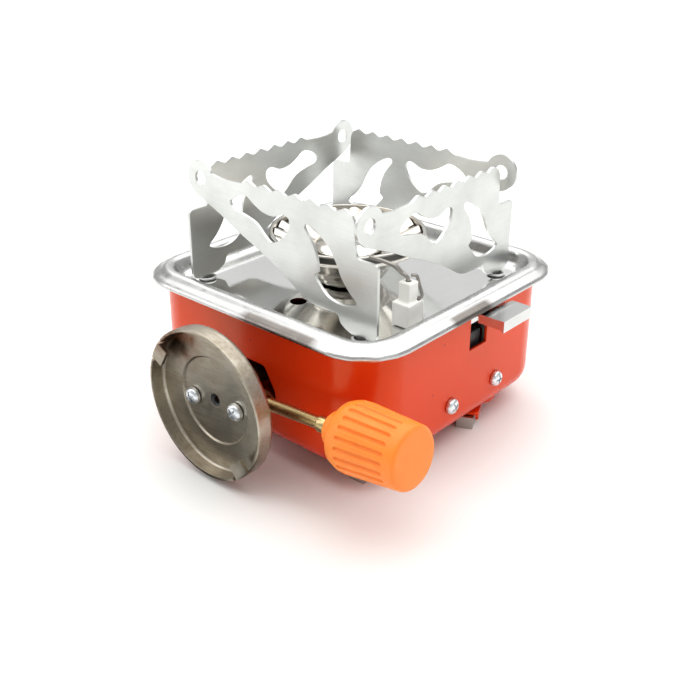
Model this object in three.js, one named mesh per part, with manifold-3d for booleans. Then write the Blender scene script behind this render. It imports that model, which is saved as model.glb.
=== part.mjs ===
// A small square gas camping stove: drawn case, polished tray, four swing-out pot supports, concave
// burner with spark igniter, cartridge connector with needle valve and knob, and four swing legs.
// Millimetres, +Z up. The tray's centre is at x = y = 0 and the surface the stove stands on at z = 0
// while the model is built; the finished group is then moved so that its box's bottom centre is the origin.
import * as THREE from 'three';
import { mergeVertices } from 'three/addons/utils/BufferGeometryUtils.js';
import Module from 'manifold-3d';

const wasm = await Module();
wasm.setup();

// ---- driving dimensions ----
const GAP = 0.3; // clearance between pieces that touch
const SHEET = 0.8; // thickness of the pressed steel sheets
const CORNER_STEPS = 6; // facets in each rounded corner of the case and tray

const SHELL_HALF = 46.2; // half of the case's outer width
const SHELL_CORNER = 15.5; // outer corner radius of the case in plan
const SHELL_BOTTOM = 5.9; // underside of the case
const SHELL_TOP = 47.5; // upper edge of the case wall, inside the tray's rim
const SHELL_ROUND = 7; // radius from wall to bottom

const TRAY_HALF = 50; // half of the tray's outer width
const TRAY_CORNER = 16.6; // outer corner radius of the tray in plan
const TRAY_FLOOR = 43.9; // upper face of the tray's floor
const SKIRT_LOW = 45.5; // lower edge of the tray's rim
const RIM_TOP = 49.5; // crown of the rim's bead

const PIVOT_ALONG = 32.3; // support pivot, measured along its side of the square
const PIVOT_OUT = 33.5; // distance of each support's sheet from the centre
const SUPPORT_SHEET = 1.0;
const EYE_ALONG = -64.5; // eye centre, measured from the pivot
const EYE_UP = 32.2; // eye centre above the skirt's lower edge
const EYE_RADIUS = 5.6;
const EYE_HOLE = 2.3;
const TOOTH_PITCH = 6.2;
const TEETH = 7;

const BURNER_Y = -2.4; // burner axis
const RING_RADIUS = 25.2; // outer radius of the burner's ring at its lower lip
const RING_TOP = 60.8;
const RING_LOW = 57.5;
const FLUTES = 20;

const VALVE_X = 1.7; // connector axis
const VALVE_Z = 25;
const VALVE_TILT = 4.5; // degrees that the valve is turned on its tube
const CUP_FRONT = -67; // y of the connector's front edge
const CUP_RADIUS = 23.3;
const CUP_DEPTH = 4.5;
const STEM_Y = -54.4; // y of the needle valve's stem
const STEM_RADIUS = 1.85;
const KNOB_START = 40.2; // x of the knob's neck
const KNOB_LENGTH = 28.2;
const KNOB_RADIUS = 10.1;
const KNOB_GROOVES = 22;

const HOLDER = { x: 35.3, y: -16.4, wide: 6.2, deep: 7.2, high: 7.3, neck: 4.2, neckHigh: 6 };

const LEVER_PIVOT_X = 31.5;
const LEVER_PIVOT_Z = 40.3;
const LEVER_Y = [1.2, 9.0]; // the strip's edges inside the wall
const LEVER_END_X = 57;
const PLUNGER_X = 40.5;
const SCREW_Z = 17.1; // the two screws in the +X wall
const SCREW_YS = [-7.9, 15.8];

const LEG_PIVOT_X = 34.5;
const LEG_PIVOT_Y = 22;
const LEG_REACH = 16; // from the rivet to the foot's outer face
const LEG_HEAD = 7.5; // radius of the round end
const LEG_ANGLES = { front_right: -88, back_right: -64, back_left: 92, front_left: 116 };

// ---- solids ----
const rad = THREE.MathUtils.degToRad;

// a geometry reduced to merged positions, without triangles that have collapsed to a line
function cleaned(geometry) {
  const bare = geometry.clone();
  for (const name of Object.keys(bare.attributes)) {
    if (name !== 'position') bare.deleteAttribute(name);
  }
  const merged = mergeVertices(bare, 1e-4);
  const index = merged.index.array;
  const kept = [];
  for (let i = 0; i < index.length; i += 3) {
    const [a, b, c] = [index[i], index[i + 1], index[i + 2]];
    if (a !== b && b !== c && c !== a) kept.push(a, b, c);
  }
  merged.setIndex(kept);
  return merged;
}

function toManifold(geometry) {
  const merged = cleaned(geometry);
  return new wasm.Manifold(new wasm.Mesh({
    numProp: 3,
    vertProperties: new Float32Array(merged.attributes.position.array),
    triVerts: new Uint32Array(merged.index.array),
  }));
}

function toGeometry(manifold) {
  const mesh = manifold.getMesh();
  const geometry = new THREE.BufferGeometry();
  geometry.setAttribute('position', new THREE.Float32BufferAttribute(mesh.vertProperties, 3));
  geometry.setIndex(Array.from(mesh.triVerts));
  return geometry;
}

function join(geometries) {
  return toGeometry(geometries.map(toManifold).reduce((all, next) => all.add(next)));
}

function cut(geometry, tools) {
  return toGeometry(tools.map(toManifold).reduce((left, tool) => left.subtract(tool), toManifold(geometry)));
}

function box(x0, x1, y0, y1, z0, z1) {
  const geometry = new THREE.BoxGeometry(x1 - x0, y1 - y0, z1 - z0);
  return geometry.translate((x0 + x1) / 2, (y0 + y1) / 2, (z0 + z1) / 2);
}

// a turned solid about the Z axis; the profile is a list of [radius, z] from the axis to the axis
function turned(profile, segments = 24) {
  const points = profile.map(([r, z]) => new THREE.Vector2(r, z));
  return cleaned(new THREE.LatheGeometry(points, segments).rotateX(Math.PI / 2));
}

// a turned ring whose profile closes on itself
function turnedRing(profile, segments = 24) {
  return turned([...profile, profile[0]], segments);
}

function cylinder(radius, z0, z1, segments = 20) {
  return turned([[0, z0], [radius, z0], [radius, z1], [0, z1]], segments);
}

// turn a solid made about Z so that its axis runs along +X or -Y
const alongX = (geometry) => geometry.rotateY(Math.PI / 2);
const alongMinusY = (geometry) => geometry.rotateX(Math.PI / 2);

// an outline of [x, y] points drawn up from z0 to z1
function plate(outline, z0, z1, holes = []) {
  const shape = new THREE.Shape(outline.map(([x, y]) => new THREE.Vector2(x, y)));
  for (const hole of holes) {
    shape.holes.push(new THREE.Path(hole.map(([x, y]) => new THREE.Vector2(x, y))));
  }
  const geometry = new THREE.ExtrudeGeometry(shape, { depth: z1 - z0, bevelEnabled: false });
  return cleaned(geometry.translate(0, 0, z0));
}

// a plate drawn in the X-Z plane, as thick as y0 to y1
function platePlusY(outline, y0, y1, holes = []) {
  const geometry = plate(outline, -y1, -y0, holes);
  return geometry.rotateX(Math.PI / 2);
}

function arc(cx, cy, radius, from, to, steps) {
  const points = [];
  for (let i = 0; i <= steps; i += 1) {
    const angle = rad(from + (to - from) * i / steps);
    points.push([cx + radius * Math.cos(angle), cy + radius * Math.sin(angle)]);
  }
  return points;
}

function circle(cx, cy, radius, steps = 16) {
  return arc(cx, cy, radius, 0, 360 - 360 / steps, steps - 1);
}

// a rectangle about the origin with rounded corners
function roundedOutline(halfX, halfY, radius, steps = 4) {
  const [x, y] = [halfX - radius, halfY - radius];
  return [
    ...arc(x, y, radius, 0, 90, steps), ...arc(-x, y, radius, 90, 180, steps),
    ...arc(-x, -y, radius, 180, 270, steps), ...arc(x, -y, radius, 270, 360, steps),
  ];
}

function smooth(points, steps, closed = false) {
  const vectors = points.map(([x, y]) => new THREE.Vector3(x, y, 0));
  const curve = new THREE.CatmullRomCurve3(vectors, closed, 'centripetal');
  const sampled = curve.getPoints(steps).map((p) => [p.x, p.y]);
  return closed ? sampled.slice(0, -1) : sampled;
}

// a round wire or tube along a smooth path of [x, y, z] points
function wire(points, radius, steps, sides = 8, bore = 0) {
  const section = new THREE.Shape(circle(0, 0, radius, sides).map(([x, y]) => new THREE.Vector2(x, y)));
  if (bore > 0) {
    section.holes.push(new THREE.Path(circle(0, 0, bore, sides).map(([x, y]) => new THREE.Vector2(x, y))));
  }
  const path = new THREE.CatmullRomCurve3(points.map((p) => new THREE.Vector3(...p)), false, 'centripetal');
  return cleaned(new THREE.ExtrudeGeometry(section, { extrudePath: path, steps, bevelEnabled: false }));
}

// ---- solids whose level sections are rounded squares ----
function squareRing(half, corner, z) {
  const centre = half - corner;
  const ring = [];
  for (const [sx, sy, start] of [[1, 1, 0], [-1, 1, 90], [-1, -1, 180], [1, -1, 270]]) {
    for (const [x, y] of arc(sx * centre, sy * centre, corner, start, start + 90, CORNER_STEPS)) {
      ring.push([x, y, z]);
    }
  }
  return ring;
}

// a circle of points whose height varies with the angle
function wavyRing(radius, heightAt, count) {
  const ring = [];
  for (let i = 0; i < count; i += 1) {
    const angle = 2 * Math.PI * i / count;
    ring.push([radius * Math.cos(angle), radius * Math.sin(angle), heightAt(angle)]);
  }
  return ring;
}

// skin a list of rings; closed runs the last ring back to the first, otherwise both ends are capped
function skinned(rings, closed) {
  const count = rings[0].length;
  const position = rings.flat(2);
  const index = [];
  const last = closed ? rings.length : rings.length - 1;
  for (let k = 0; k < last; k += 1) {
    const [low, high] = [k * count, ((k + 1) % rings.length) * count];
    for (let i = 0; i < count; i += 1) {
      const j = (i + 1) % count;
      index.push(low + i, low + j, high + j, low + i, high + j, high + i);
    }
  }
  if (!closed) {
    const [first, end] = [position.length / 3, position.length / 3 + 1];
    position.push(0, 0, rings[0][0][2], 0, 0, rings.at(-1)[0][2]);
    const top = (rings.length - 1) * count;
    for (let i = 0; i < count; i += 1) {
      const j = (i + 1) % count;
      index.push(first, j, i, end, top + i, top + j);
    }
  }
  const geometry = new THREE.BufferGeometry();
  geometry.setAttribute('position', new THREE.Float32BufferAttribute(position, 3));
  geometry.setIndex(index);
  return cleaned(geometry);
}

// profile: [half width, z] from the centre underneath, round the outside, to the centre on top
function squareDish(profile, outerHalf, outerCorner) {
  return skinned(profile.map(([half, z]) => squareRing(half, outerCorner - (outerHalf - half), z)), false);
}

// ---- materials ----
const material = (color, roughness, metalness) => new THREE.MeshStandardMaterial({ color, roughness, metalness });
const PAINT = () => material(0xc8311a, 0.22, 0.1);
const POLISHED = () => material(0xd4d6d4, 0.15, 1);
const SATIN = () => material(0xc9ccc9, 0.38, 1);
const BRUSHED = () => material(0x8f877d, 0.35, 1);
const BRASS = () => material(0xb79a5c, 0.3, 1);
const ZINC = () => material(0xcfd4d8, 0.25, 1);
const CERAMIC = () => material(0xe9eadf, 0.3, 0);
const BLACK = () => material(0x16181a, 0.45, 0);
const ORANGE = () => material(0xff8a1f, 0.4, 0);
const GREY_STEEL = () => material(0xa6a49c, 0.4, 1);

const stove = new THREE.Group();

function add(name, geometry, look, parent = stove) {
  const mesh = new THREE.Mesh(geometry, look);
  mesh.name = name;
  parent.add(mesh);
  return mesh;
}

// ---- case ----
function shellProfile() {
  const inner = SHELL_HALF - SHEET;
  const centre = SHELL_HALF - SHELL_ROUND;
  const level = SHELL_BOTTOM + SHELL_ROUND;
  const outside = arc(centre, level, SHELL_ROUND, -90, 0, 4);
  const inside = arc(centre, level, SHELL_ROUND - SHEET, 0, -90, 4);
  return [...outside, [SHELL_HALF, SHELL_TOP], [inner, SHELL_TOP], ...inside];
}

function valveOpening() {
  const [wide, flat, high, low] = [10.4, 6, 9.3, 1.6]; // half widths and half heights of the opening
  const centre = 22.3;
  return [
    [-flat, centre - high], [flat, centre - high], [wide, centre - low], [wide, centre + low],
    [flat, centre + high], [-flat, centre + high], [-wide, centre + low], [-wide, centre - low],
  ];
}

function legPivots() {
  return [
    ['front_right', LEG_PIVOT_X, -LEG_PIVOT_Y], ['back_right', LEG_PIVOT_X, LEG_PIVOT_Y],
    ['back_left', -LEG_PIVOT_X, LEG_PIVOT_Y], ['front_left', -LEG_PIVOT_X, -LEG_PIVOT_Y],
  ];
}

function buildShell() {
  const tools = [
    platePlusY(valveOpening(), -SHELL_HALF - 1, -SHELL_HALF + 3),
    box(SHELL_HALF - 3, SHELL_HALF + 1, 0.6, 9.6, 32.2, 45.4),
  ];
  for (const y of SCREW_YS) {
    tools.push(alongX(cylinder(1.6, SHELL_HALF - 3, SHELL_HALF + 1, 12)).translate(0, y, SCREW_Z));
  }
  for (const [, x, y] of legPivots()) {
    tools.push(cylinder(1.8, SHELL_BOTTOM - 1, SHELL_BOTTOM + 3, 12).translate(x, y, 0));
  }
  add('case_shell', cut(squareDish(shellProfile(), SHELL_HALF, SHELL_CORNER), tools), PAINT());
}

// ---- tray ----
function trayProfile() {
  const under = [
    [40.4, 43.1], [42.3, 43.7], [43.3, 47.5], [44.9, 48.7], [46.6, 47.8], [49, 46.9], [49.2, 46.2], [46.9, 46.2],
  ];
  const over = [
    [46.9, SKIRT_LOW], [49.4, SKIRT_LOW], [TRAY_HALF, 46], [49.9, 46.8], [49, 47.6],
    [47.3, 48.2], [46.3, 49.1], [45, RIM_TOP], [43.4, 49.2], [42.6, 48], [42, 45.2], [40.4, TRAY_FLOOR],
  ];
  return [...under, ...over];
}

// the four supports and their eyelets repeat by quarter turns: front, right, back, left
const SIDES = ['front', 'right', 'back', 'left'];

function quarter(index) {
  const group = new THREE.Group();
  group.rotation.z = index * Math.PI / 2;
  stove.add(group);
  return group;
}

function buildTray() {
  const drill = (radius, x, y, sides) => cylinder(radius, TRAY_FLOOR - 3, TRAY_FLOOR + 2, sides).translate(x, y, 0);
  const tools = [
    drill(8.4, 0, BURNER_Y, 28),
    drill(2, HOLDER.x, HOLDER.y, 12),
    drill(2.6, 0.7, -26, 16),
  ];
  SIDES.forEach((side, i) => {
    tools.push(drill(2.6, PIVOT_ALONG, -PIVOT_OUT, 16).rotateZ(i * Math.PI / 2));
  });
  add('top_tray', cut(squareDish(trayProfile(), TRAY_HALF, TRAY_CORNER), tools), POLISHED());
}

function buildEyelets() {
  const top = TRAY_FLOOR + GAP;
  const under = TRAY_FLOOR - SHEET - GAP;
  const profile = [
    [1.95, 42.1], [2.9, 42.1], [2.9, under], [2.25, under], [2.25, top], [2.9, top], [2.7, 44.8], [1.95, 44.8],
  ];
  SIDES.forEach((side, i) => {
    const mesh = add(`eyelet_${side}`, turnedRing(profile, 14), SATIN(), quarter(i));
    mesh.position.set(PIVOT_ALONG, -PIVOT_OUT, 0);
  });
}

// ---- pot supports: drawn with the pivot at 0 and heights above the skirt's lower edge ----
function supportOutline() {
  const tail = [[1.5, -0.45], [3.6, -0.45], [5.6, 0.2], [6.1, 1.2], [6.1, 21.6], [5.2, 22.6]];
  const riser = [[-0.9, 22.6], [-1.9, 23.8], [-2.4, 32.8], [-3.4, 34.4]];
  const top = [];
  for (let i = 0; i < TEETH; i += 1) {
    const peak = -6 - TOOTH_PITCH * i;
    top.push([peak + 1.3, 35.1], [peak, 35.9], [peak - 1.2, 35.5], [peak - 3.1, 34.3]);
  }
  const dip = [[-48.3, 34.2], [-52.4, 33.9], [-56, 34.1]];
  const eye = arc(EYE_ALONG, EYE_UP, EYE_RADIUS, 25, 222, 11);
  const belly = smooth([
    [-66.4, 26.7], [-61.7, 24.8], [-56, 22.5], [-47.8, 18.6], [-39.9, 15.3], [-32.8, 11.9], [-27, 8.6],
    [-22.5, 5.9], [-19, 4.6], [-15, 4.3], [-9, 4.3],
  ], 14);
  const neck = [[-8.1, 3.6], [-7.4, 1.6], [-5.2, 0.2], [-3.6, -0.45], [-1.5, -0.45]];
  const tongue = [[-1.5, -4.7], [-2.5, -4.7], [-2.5, -5.8], [2.5, -5.8], [2.5, -4.7], [1.5, -4.7]];
  return [...tail, ...riser, ...top, ...dip, ...eye, ...belly, ...neck, ...tongue];
}

function supportBone() {
  return smooth([
    [-51.4, 27.9], [-48.6, 30], [-44.6, 31], [-41.3, 29.1], [-37.6, 27.5], [-33.3, 27.2], [-29.4, 28.7],
    [-27, 27.6], [-27.6, 24.2], [-31, 20.6], [-34.6, 18.9], [-37.4, 20.6], [-40.9, 23.5], [-46, 25],
    [-50.2, 25.8],
  ], 26, true);
}

function supportLeaf() {
  const back = smooth([
    [-15.8, 14.8], [-16.3, 18.8], [-18, 22.8], [-21, 26.8], [-19.6, 28], [-15.5, 26.2], [-11.4, 22.9],
    [-8.8, 19], [-7, 15.4], [-4, 11.8], [-1.3, 9.4], [-3.6, 7.9], [-8.2, 7.4], [-12.8, 8.7], [-16.6, 12.4],
  ], 24);
  return [...back, [-17.4, 13.6]];
}

function buildSupports() {
  const holes = [circle(EYE_ALONG, EYE_UP, EYE_HOLE, 14), supportBone(), supportLeaf()];
  const sheet = platePlusY(supportOutline(), -SUPPORT_SHEET / 2, SUPPORT_SHEET / 2, holes);
  SIDES.forEach((side, i) => {
    const mesh = add(`pot_support_${side}`, sheet.clone(), SATIN(), quarter(i));
    mesh.position.set(PIVOT_ALONG, -PIVOT_OUT, SKIRT_LOW);
  });
  const washer = cut(
    turnedRing([[0.9, 41.15], [3.4, 41.15], [3.4, 41.8], [0.9, 41.8]], 18),
    [box(-1.85, 1.85, -0.85, 0.85, 40, 43)],
  );
  SIDES.forEach((side, i) => {
    const mesh = add(`support_washer_${side}`, washer.clone(), SATIN(), quarter(i));
    mesh.position.set(PIVOT_ALONG, -PIVOT_OUT, 0);
  });
}

// ---- burner ----
function buildBurner() {
  const seat = TRAY_FLOOR + GAP + 0.1;
  const bowl = [
    [6.8, 41], [7.7, 41], [7.7, seat], [9.7, seat], [11.7, 46], [13.1, 48], [13.8, 50], [24.2, RING_LOW - 0.3],
    [RING_RADIUS, RING_LOW], [RING_RADIUS, RING_LOW + 0.4], [RING_RADIUS - 0.6, RING_LOW + 0.6],
    [RING_RADIUS - 0.9, RING_TOP - 0.6], [RING_RADIUS - 0.5, RING_TOP - 0.4], [RING_RADIUS - 0.5, RING_TOP],
    [RING_RADIUS - 1.7, RING_TOP], [RING_RADIUS - 1.7, 58.1], [13.3, 51], [12.2, 48.6], [10.9, 46.8],
    [9.2, 45.3], [6.8, 45.3],
  ];
  add('burner_bowl', turnedRing(bowl, 36), POLISHED()).position.y = BURNER_Y;

  const count = FLUTES * 4;
  const flute = (radius, z, depth) => wavyRing(radius, (angle) => z + depth * Math.cos(FLUTES * angle), count);
  const rings = [
    flute(9.5, 53.2, 0.2), flute(23.1, 58.9, 0.6), flute(23.1, 59.6, 0.6), flute(9.5, 53.9, 0.2),
  ];
  add('burner_fluted_plate', skinned(rings, true), POLISHED()).position.y = BURNER_Y;

  const cap = [[1.9, 55.1], [11, 55.1], [11.2, 55.6], [9.6, 56.6], [6, 57.3], [1.9, 57.5]];
  add('burner_cap', turnedRing(cap, 28), POLISHED()).position.y = BURNER_Y;
  const screw = [[0, 49], [1.5, 49], [1.5, 57.8], [3.4, 57.8], [3.4, 58.6], [2.4, 59.5], [0, 59.8]];
  add('burner_screw', turned(screw, 18), ZINC()).position.y = BURNER_Y;
}

// the mixing tube drops from the burner, turns forward and ends open before the jet
function buildGasPath() {
  const bend = [
    [0, BURNER_Y, 44.8], [0, BURNER_Y, 38], [0, BURNER_Y, 34], [0, BURNER_Y - 0.8, 29.6], [0, BURNER_Y - 4, 26.2],
    [0, BURNER_Y - 8.5, VALVE_Z], [0, BURNER_Y - 14, VALVE_Z], [0, -26, VALVE_Z],
  ];
  add('mixing_tube', wire(bend, 6.2, 11, 14, 5.3), SATIN());
  const jet = [
    [0, 23], [0.8, 23], [1.1, 25.4], [2.2, 26.5], [2.2, 29.5], [4.2, 29.5], [4.2, 34.8], [3.2, 34.8],
    [3.2, 36.6], [0, 36.6],
  ];
  add('gas_jet', alongMinusY(turned(jet, 12)), BRASS()).position.set(0, 0, VALVE_Z);
  const tube = turnedRing([[1.4, 37], [2.6, 37], [2.6, 49.2], [1.4, 49.2]], 14);
  add('gas_tube', alongMinusY(tube), BRASS()).position.set(0, 0, VALVE_Z);
}

// ---- spark igniter ----
function buildElectrode() {
  const floor = TRAY_FLOOR + GAP;
  const shoulder = floor + HOLDER.high;
  const [w, d, n] = [HOLDER.wide / 2, HOLDER.deep / 2, HOLDER.neck / 2];
  const holder = join([
    box(-w, w, -d, d, floor, shoulder),
    box(-n, n, -n, n, shoulder - 0.5, shoulder + HOLDER.neckHigh),
  ]);
  const bore = cylinder(0.95, 40, 60, 10);
  const clipHole = cylinder(0.95, shoulder - 2, shoulder + 1, 10).translate(1.7, 2.2, 0);
  add('electrode_holder', cut(holder, [bore, clipHole]), CERAMIC()).position.set(HOLDER.x, HOLDER.y, 0);

  const top = shoulder + HOLDER.neckHigh;
  const rod = wire([
    [HOLDER.x, HOLDER.y, floor + 1], [HOLDER.x, HOLDER.y, top - 0.4], [HOLDER.x - 1.9, HOLDER.y - 1, top + 2.3],
    [HOLDER.x - 3.9, HOLDER.y - 2, top + 4.2], [HOLDER.x - 7, HOLDER.y - 2.2, top + 4.6],
    [22.8, -18.7, top + 4.6],
  ], 0.6, 14, 7);
  add('electrode_wire', rod, GREY_STEEL());

  const clip = wire([
    [HOLDER.x + 1.7, HOLDER.y + 2.2, shoulder - 1.4], [HOLDER.x + 1.9, HOLDER.y + 2.6, shoulder + 0.3],
    [HOLDER.x + 2.5, HOLDER.y + 3.3, shoulder + 1.2], [HOLDER.x + 1.4, HOLDER.y + 3.4, shoulder + 4],
    [HOLDER.x + 0.5, HOLDER.y + 3.2, top + 0.6], [HOLDER.x - 0.4, HOLDER.y + 2, top + 1],
  ], 0.55, 10, 7);
  add('electrode_clip', clip, GREY_STEEL());
}

function buildIgniter() {
  const [y0, y1] = LEVER_Y;
  const inner = SHELL_HALF - SHEET;
  const ear = [
    [inner - GAP, 36.2], [inner - GAP, 42.6], [LEVER_PIVOT_X - 2, 42.6], [LEVER_PIVOT_X - 2, 38], [40, 36.2],
  ];
  const ears = [y0 - 1.5, y1 + 0.7].map((y) => platePlusY(ear, y, y + SHEET));
  const bracket = join([
    box(inner - GAP - SHEET, inner - GAP, -12, 20, 12, 42.6),
    box(34, inner - GAP, -2, 12, 14.8, 15.6),
    ...ears,
  ]);
  const tools = [
    box(40, 50, y0 - 0.7, y1 + 0.7, 31, 50),
    platePlusY(circle(LEVER_PIVOT_X, LEVER_PIVOT_Z, 1.35, 12), -5, 15),
  ];
  for (const y of SCREW_YS) tools.push(alongX(cylinder(1.6, 40, 50, 12)).translate(0, y, SCREW_Z));
  add('igniter_bracket', cut(bracket, tools), SATIN());

  const housing = cut(
    box(36.8, 44.1, y0 + 0.1, y1 - 0.1, 15.9, 36.5),
    [cylinder(2.6, 30, 40, 14).translate(PLUNGER_X, (y0 + y1) / 2, 0)],
  );
  add('piezo_housing', housing, BLACK());
  const plunger = [[0, 32.4], [2.2, 32.4], [2.2, 39.2], [1.6, 39.65], [0, 39.65]];
  add('piezo_plunger', turned(plunger, 14), BLACK()).position.set(PLUNGER_X, (y0 + y1) / 2, 0);

  const strip = [
    [LEVER_PIVOT_X, 41.9], [LEVER_PIVOT_X, 40], [44.7, 40], [44.7, 44.1], [47.5, 44.1], [47.5, 45],
    [43.8, 45], [43.8, 41], [LEVER_PIVOT_X + 1.5, 41],
  ];
  const tab = [[46.9, y0], [LEVER_END_X, y0 + 0.3], [LEVER_END_X, 16.3], [50.5, 16.3], [46.9, y1]];
  const solid = join([
    platePlusY(circle(LEVER_PIVOT_X, LEVER_PIVOT_Z, 1.9, 14), y0, y1),
    platePlusY(strip, y0, y1),
    plate(tab, 44.1, 45),
    box(LEVER_END_X - 0.9, LEVER_END_X, y0 + 0.3, 16.3, 41.4, 45),
    box(48, LEVER_END_X, y0 + 0.3, y0 + 1.1, 42, 45),
  ]);
  const bore = platePlusY(circle(LEVER_PIVOT_X, LEVER_PIVOT_Z, 1.3, 12), -5, 15);
  add('igniter_lever', cut(solid, [bore]), POLISHED());
  const pin = cylinder(1, -y1 - 2.2, -y0 + 2.2, 12);
  add('lever_pin', alongMinusY(pin), SATIN()).position.set(LEVER_PIVOT_X, 0, LEVER_PIVOT_Z);
  SCREW_YS.forEach((y, i) => {
    const screw = alongX(panScrew(2.35, 1.25, 5.5));
    add(`wall_screw_${i + 1}`, screw, ZINC()).position.set(SHELL_HALF + GAP, y, SCREW_Z);
  });
}

// a pan-head screw whose head stands above z = 0, with a crossed recess
function panScrew(head, shank, length) {
  const crown = [[head, 0], [head, 0.9], [head * 0.78, 1.6], [head * 0.4, 1.9], [0, 2]];
  const screw = turned([[0, -length], [shank, -length], [shank, 0], ...crown], 14);
  const half = head * 0.62;
  return cut(screw, [box(-half, half, -0.35, 0.35, 1, 3), box(-0.35, 0.35, -half, half, 1, 3)]);
}

// ---- connector, valve and knob: built about the connector's axis and turned on it ----
function buildValve() {
  const valve = new THREE.Group();
  valve.position.set(VALVE_X, 0, VALVE_Z);
  valve.rotation.y = -rad(VALVE_TILT);
  stove.add(valve);

  const face = -CUP_FRONT - CUP_DEPTH; // distance of the plate's front face from the case's centre
  const front = -CUP_FRONT;
  const cup = turnedRing([
    [3, face - 1.8], [14.2, face - 1.8], [14.4, face - 1.2], [22, face - 1.2], [CUP_RADIUS - 0.3, face - 0.9],
    [CUP_RADIUS, face], [CUP_RADIUS, front - 0.3], [CUP_RADIUS - 0.3, front], [CUP_RADIUS - 1, front],
    [CUP_RADIUS - 1.1, face + 0.6], [21.6, face], [13.7, face], [13.4, face - 0.6], [3, face - 0.6],
  ], 40);
  const claws = [145, -52].map((angle) => {
    const claw = plate([[18.6, -3], [CUP_RADIUS - 0.4, -3], [CUP_RADIUS - 0.4, 3], [18.6, 3]], front - 1.1, front);
    return claw.rotateZ(rad(angle));
  });
  const slots = [145, -52].flatMap((angle) => [-3.9, 3.9].map((side) => (
    box(CUP_RADIUS - 2, CUP_RADIUS + 1, side - 0.6, side + 0.6, front - 2.4, front + 1).rotateZ(rad(angle))
  )));
  const bolt = (x, z, radius) => cylinder(radius, face - 4, face + 3, 12).translate(x, z, 0);
  const plateSolid = cut(join([cup, ...claws]), [bolt(-9.05, -0.9, 1.5), bolt(9.05, -0.9, 1.5), ...slots]);
  add('connector_plate', alongMinusY(plateSolid), BRUSHED(), valve);

  [-9.05, 9.05].forEach((x, i) => {
    const screw = alongMinusY(panScrew(2.3, 1.15, 5));
    add(`connector_screw_${i + 1}`, screw, ZINC(), valve).position.set(x, -face + 0.3, -0.9);
  });
  const seal = turnedRing([[1.2, face - 2], [2.7, face - 2], [2.7, face - 1], [2.1, face - 0.7], [1.2, face - 1]], 16);
  add('connector_seal', alongMinusY(seal), BLACK(), valve);

  // a flange takes the two screws, a narrower block behind it carries the needle valve
  const back = -face + 2.2;
  const flange = platePlusY(roundedOutline(11.2, 5.5, 4), back, back + 2.8);
  const block = platePlusY(roundedOutline(6, 5.6, 2), back + 2.3, -49.5);
  const boss = alongX(cylinder(3.6, 5, 11, 18)).translate(0, STEM_Y, 0);
  const bodyTools = [
    alongX(cylinder(2.5, 4, 16, 14)).translate(0, STEM_Y, 0),
    ...[-9.05, 9.05].map((x) => alongMinusY(cylinder(1.5, face - 7.5, face, 12)).translate(x, 0, -0.9)),
  ];
  add('valve_body', cut(join([flange, block, boss]), bodyTools), BRASS(), valve);
  const nut = turnedRing([[2.15, 11.5], [3.1, 11.5], [3.3, 11.8], [3.3, 13.4], [2.9, 13.8], [2.15, 13.8]], 6);
  add('gland_nut', alongX(nut).translate(0, STEM_Y, 0), BRASS(), valve);

  const start = KNOB_START - VALVE_X;
  const rod = [
    [0, 5], [1.2, 6.5], [STEM_RADIUS, 8], [STEM_RADIUS, start - 4.4], [2.4, start - 4.1], [2.4, start - 0.9],
    [STEM_RADIUS, start - 0.9], [STEM_RADIUS, start + 12], [0, start + 12],
  ];
  add('valve_stem', alongX(turned(rod, 16)).translate(0, STEM_Y, 0), BRASS(), valve);
  add('knob', alongX(knobSolid()).translate(start, STEM_Y, 0), ORANGE(), valve);
}

// the knob's neck starts at z = 0; grooves run along its slightly tapered body
function knobSolid() {
  const end = KNOB_LENGTH;
  const body = turned([
    [0, 0.3], [4.4, 0.3], [5, 1], [5, 3.8], [6.8, 4.2], [9, 5.5], [KNOB_RADIUS - 0.2, 7.8], [KNOB_RADIUS, 10],
    [9, end - 1.4], [8.7, end - 0.4], [8.1, end], [0, end],
  ], 40);
  const groove = plate(arc(0, 0, 0.75, 60, 300, 4), 0, 15.5);
  const lean = Math.atan2(KNOB_RADIUS - 9, end - 11.4);
  const tools = [cylinder(2.2, -1, 13, 14)];
  for (let i = 0; i < KNOB_GROOVES; i += 1) {
    const tool = groove.clone().rotateY(-lean).translate(KNOB_RADIUS + 0.05, 0, 9.2);
    tools.push(tool.rotateZ(2 * Math.PI * i / KNOB_GROOVES));
  }
  return cut(body, tools);
}

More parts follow.
